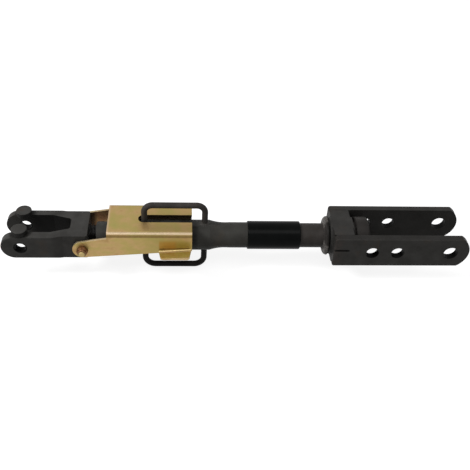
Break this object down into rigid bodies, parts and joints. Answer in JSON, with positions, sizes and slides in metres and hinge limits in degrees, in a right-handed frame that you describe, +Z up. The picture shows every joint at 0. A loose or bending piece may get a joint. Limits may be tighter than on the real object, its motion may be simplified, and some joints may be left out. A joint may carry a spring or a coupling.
{
  "type": "lift arm link",
  "caption": "Adjustable lift arm link with a fork at each end, a threaded turnbuckle tube with wire handles and a hinged lock flap.",
  "frame": {"origin": "centre of the rear fork's end bore, midway between its side plates", "axes": "+X along the link, away from the tube; +Y along the bores; +Z up through the turning handles as drawn"},
  "size_m": [0.6157, 0.0972, 0.1098],
  "materials": {
    "forged_black": "satin",
    "pin_steel": "satin",
    "tube_paint": "satin",
    "sleeve_black": "gloss",
    "wire_black": "satin",
    "weld_bead": "rough",
    "thread_steel": "oiled",
    "zinc_bolt": "yellow passivated zinc",
    "yellow_zinc": "yellow passivated zinc"
  },
  "bodies": {
    "rear_fork": {"near_fork_plate": "forged_black", "far_fork_plate": "forged_black", "fork_bridge": "forged_black"},
    "link_tube": {"turnbuckle_tube": "tube_paint", "swivel_pin": "pin_steel", "thrust_washer": "pin_steel", "swivel_collar": "pin_steel", "collar_weld": "weld_bead", "grip_sleeve": "sleeve_black", "upper_handle": "wire_black", "lower_handle": "wire_black", "upper_handle_welds": "weld_bead", "lower_handle_welds": "weld_bead"},
    "front_fork": {"front_fork": "forged_black", "threaded_spindle": "thread_steel", "near_stop_stud": "forged_black", "far_stop_stud": "forged_black", "hinge_bolt": "zinc_bolt", "hinge_nut": "zinc_bolt"},
    "lock_flap": {"lock_flap": "yellow_zinc"}
  },
  "joints": [
    {"name": "swivel", "type": "hinge", "parent": "rear_fork", "child": "link_tube", "pos_m": [0, 0, 0], "axis": [1, 0, 0], "continuous": true},
    {"name": "length_adjust", "type": "slide", "parent": "link_tube", "child": "front_fork", "axis": [-1, 0, 0], "range_m": [0, 0.055]},
    {"name": "flap_hinge", "type": "hinge", "parent": "front_fork", "child": "lock_flap", "pos_m": [-0.4857, 0, 0], "axis": [0, -1, 0], "range_deg": [0, 110]}
  ]
}
